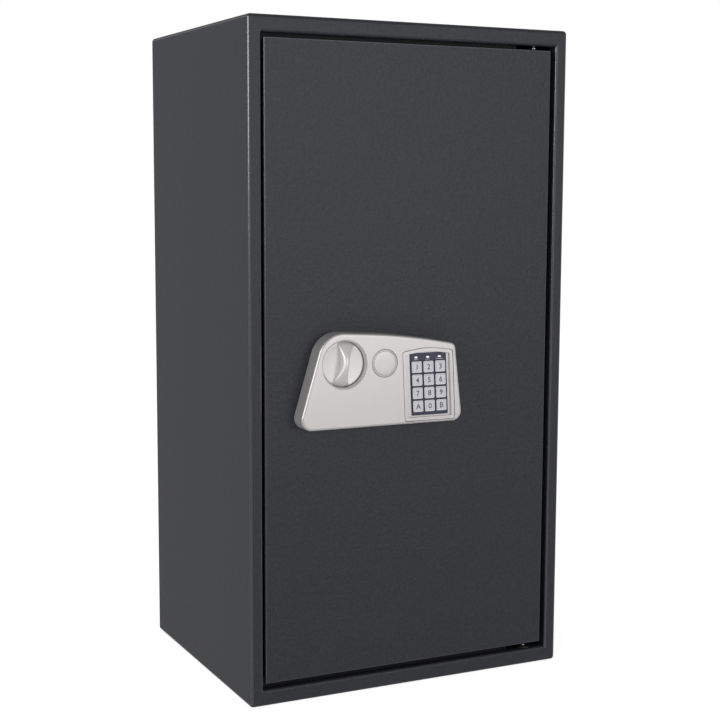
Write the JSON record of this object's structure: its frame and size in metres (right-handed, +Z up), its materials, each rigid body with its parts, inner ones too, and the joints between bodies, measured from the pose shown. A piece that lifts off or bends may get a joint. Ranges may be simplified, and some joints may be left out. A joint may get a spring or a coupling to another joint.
{
  "type": "gun safe",
  "caption": "Tall steel cabinet safe with a right-hinged door, round locking bolts, a turning knob, a keypad lock housing and two inner shelves.",
  "frame": {"origin": "middle of the underside of the steel body, where it rests on the floor", "axes": "+Z up along the height, +Y from the door into the cabinet, +X to the right as one faces the door"},
  "size_m": [0.45, 0.392, 0.85],
  "materials": {
    "anthracite_paint": "fine textured powder coat",
    "inner_paint": "fine textured powder coat",
    "zinc_plate": "zinc plated",
    "turned_steel": "bright turned",
    "silver_plastic": "satin silver lacquer",
    "key_plastic": "satin silver",
    "navy_plastic": "fine matt",
    "black_plastic": "fine matt",
    "red_plastic": "fine matt",
    "clear_lens": "clear, polished",
    "green_board": "solder mask",
    "brass": "turned",
    "grey_felt": "needle felt"
  },
  "bodies": {
    "cabinet": {"body_shell": "anthracite_paint", "front_frame": "anthracite_paint", "back_panel": "anthracite_paint", "strike_plate": "zinc_plate", "hinge_bracket_top": "zinc_plate", "hinge_bracket_bottom": "zinc_plate", "floor_mat": "grey_felt", "shelf_lower": "inner_paint", "shelf_upper": "inner_paint", "shelf_ledge_lower_left": "inner_paint", "shelf_ledge_lower_right": "inner_paint", "shelf_ledge_upper_left": "inner_paint", "shelf_ledge_upper_right": "inner_paint"},
    "door": {"door_plate": "anthracite_paint", "boltwork_cover": "inner_paint", "hinge_block_top": "zinc_plate", "hinge_block_bottom": "zinc_plate", "hinge_pin_top": "turned_steel", "hinge_pin_bottom": "turned_steel", "bolt_guide_lower": "zinc_plate", "bolt_guide_middle": "zinc_plate", "bolt_guide_upper": "zinc_plate", "cover_screw_1": "zinc_plate", "cover_screw_2": "zinc_plate", "cover_screw_3": "zinc_plate", "cover_screw_4": "zinc_plate", "lock_housing": "silver_plastic", "keypad_plate": "navy_plastic", "keypad_board": "green_board", "led_left": "clear_lens", "led_middle": "clear_lens", "led_right": "clear_lens", "solenoid_case": "zinc_plate", "emergency_lock_case": "brass", "battery_box": "black_plastic", "control_board": "green_board"},
    "turning_knob": {"knob": "silver_plastic", "spindle": "turned_steel", "cam_disc": "zinc_plate"},
    "boltwork": {"bolt_bar": "zinc_plate", "bolt_lower": "turned_steel", "bolt_middle": "turned_steel", "bolt_upper": "turned_steel"},
    "blocking_plunger": {"solenoid_plunger": "turned_steel"},
    "emergency_barrel": {"emergency_plug": "brass"},
    "lock_cap": {"cover_cap": "silver_plastic"},
    "battery_lid": {"battery_cover": "black_plastic"},
    "code_button": {"reset_button": "red_plastic"},
    "keypad_key_1": {"key_1": "key_plastic"},
    "keypad_key_2": {"key_2": "key_plastic"},
    "keypad_key_3": {"key_3": "key_plastic"},
    "keypad_key_4": {"key_4": "key_plastic"},
    "keypad_key_5": {"key_5": "key_plastic"},
    "keypad_key_6": {"key_6": "key_plastic"},
    "keypad_key_7": {"key_7": "key_plastic"},
    "keypad_key_8": {"key_8": "key_plastic"},
    "keypad_key_9": {"key_9": "key_plastic"},
    "keypad_key_0": {"key_0": "key_plastic"},
    "keypad_key_a": {"key_a": "key_plastic"},
    "keypad_key_b": {"key_b": "key_plastic"}
  },
  "joints": [
    {"name": "door_hinge", "type": "hinge", "parent": "cabinet", "child": "door", "pos_m": [0.18, -0.168, 0.425], "axis": [0, 0, 1], "range_deg": [0, 100]},
    {"name": "bolt_slide", "type": "slide", "parent": "door", "child": "boltwork", "axis": [-1, 0, 0], "range_m": [0, 0.016]},
    {"name": "knob_turn", "type": "hinge", "parent": "door", "child": "turning_knob", "pos_m": [-0.1086, -0.205, 0.4293], "axis": [0, -1, 0], "range_deg": [0, 90]},
    {"name": "plunger_slide", "type": "slide", "parent": "door", "child": "blocking_plunger", "axis": [0, 0, 1], "range_m": [0, 0.006]},
    {"name": "emergency_turn", "type": "hinge", "parent": "door", "child": "emergency_barrel", "pos_m": [-0.0533, -0.19, 0.4284], "axis": [0, -1, 0], "range_deg": [0, 90]},
    {"name": "cap_pull", "type": "slide", "parent": "door", "child": "lock_cap", "axis": [0, -1, 0], "range_m": [0, 0.04]},
    {"name": "battery_lid_slide", "type": "slide", "parent": "door", "child": "battery_lid", "axis": [0, 0, 1], "range_m": [0, 0.062]},
    {"name": "code_button_press", "type": "slide", "parent": "door", "child": "code_button", "axis": [0, -1, 0], "range_m": [0, 0.0015], "stiffness_N_per_m": 400, "springref_m": -0.001},
    {"name": "key_1_press", "type": "slide", "parent": "door", "child": "keypad_key_1", "axis": [0, 1, 0], "range_m": [0, 0.001], "stiffness_N_per_m": 400, "springref_m": -0.001},
    {"name": "key_2_press", "type": "slide", "parent": "door", "child": "keypad_key_2", "axis": [0, 1, 0], "range_m": [0, 0.001], "stiffness_N_per_m": 400, "springref_m": -0.001},
    {"name": "key_3_press", "type": "slide", "parent": "door", "child": "keypad_key_3", "axis": [0, 1, 0], "range_m": [0, 0.001], "stiffness_N_per_m": 400, "springref_m": -0.001},
    {"name": "key_4_press", "type": "slide", "parent": "door", "child": "keypad_key_4", "axis": [0, 1, 0], "range_m": [0, 0.001], "stiffness_N_per_m": 400, "springref_m": -0.001},
    {"name": "key_5_press", "type": "slide", "parent": "door", "child": "keypad_key_5", "axis": [0, 1, 0], "range_m": [0, 0.001], "stiffness_N_per_m": 400, "springref_m": -0.001},
    {"name": "key_6_press", "type": "slide", "parent": "door", "child": "keypad_key_6", "axis": [0, 1, 0], "range_m": [0, 0.001], "stiffness_N_per_m": 400, "springref_m": -0.001},
    {"name": "key_7_press", "type": "slide", "parent": "door", "child": "keypad_key_7", "axis": [0, 1, 0], "range_m": [0, 0.001], "stiffness_N_per_m": 400, "springref_m": -0.001},
    {"name": "key_8_press", "type": "slide", "parent": "door", "child": "keypad_key_8", "axis": [0, 1, 0], "range_m": [0, 0.001], "stiffness_N_per_m": 400, "springref_m": -0.001},
    {"name": "key_9_press", "type": "slide", "parent": "door", "child": "keypad_key_9", "axis": [0, 1, 0], "range_m": [0, 0.001], "stiffness_N_per_m": 400, "springref_m": -0.001},
    {"name": "key_0_press", "type": "slide", "parent": "door", "child": "keypad_key_0", "axis": [0, 1, 0], "range_m": [0, 0.001], "stiffness_N_per_m": 400, "springref_m": -0.001},
    {"name": "key_a_press", "type": "slide", "parent": "door", "child": "keypad_key_a", "axis": [0, 1, 0], "range_m": [0, 0.001], "stiffness_N_per_m": 400, "springref_m": -0.001},
    {"name": "key_b_press", "type": "slide", "parent": "door", "child": "keypad_key_b", "axis": [0, 1, 0], "range_m": [0, 0.001], "stiffness_N_per_m": 400, "springref_m": -0.001}
  ],
  "couplings": [
    {"joint": "knob_turn", "follows": "bolt_slide", "rad_per_m": 98.17}
  ]
}
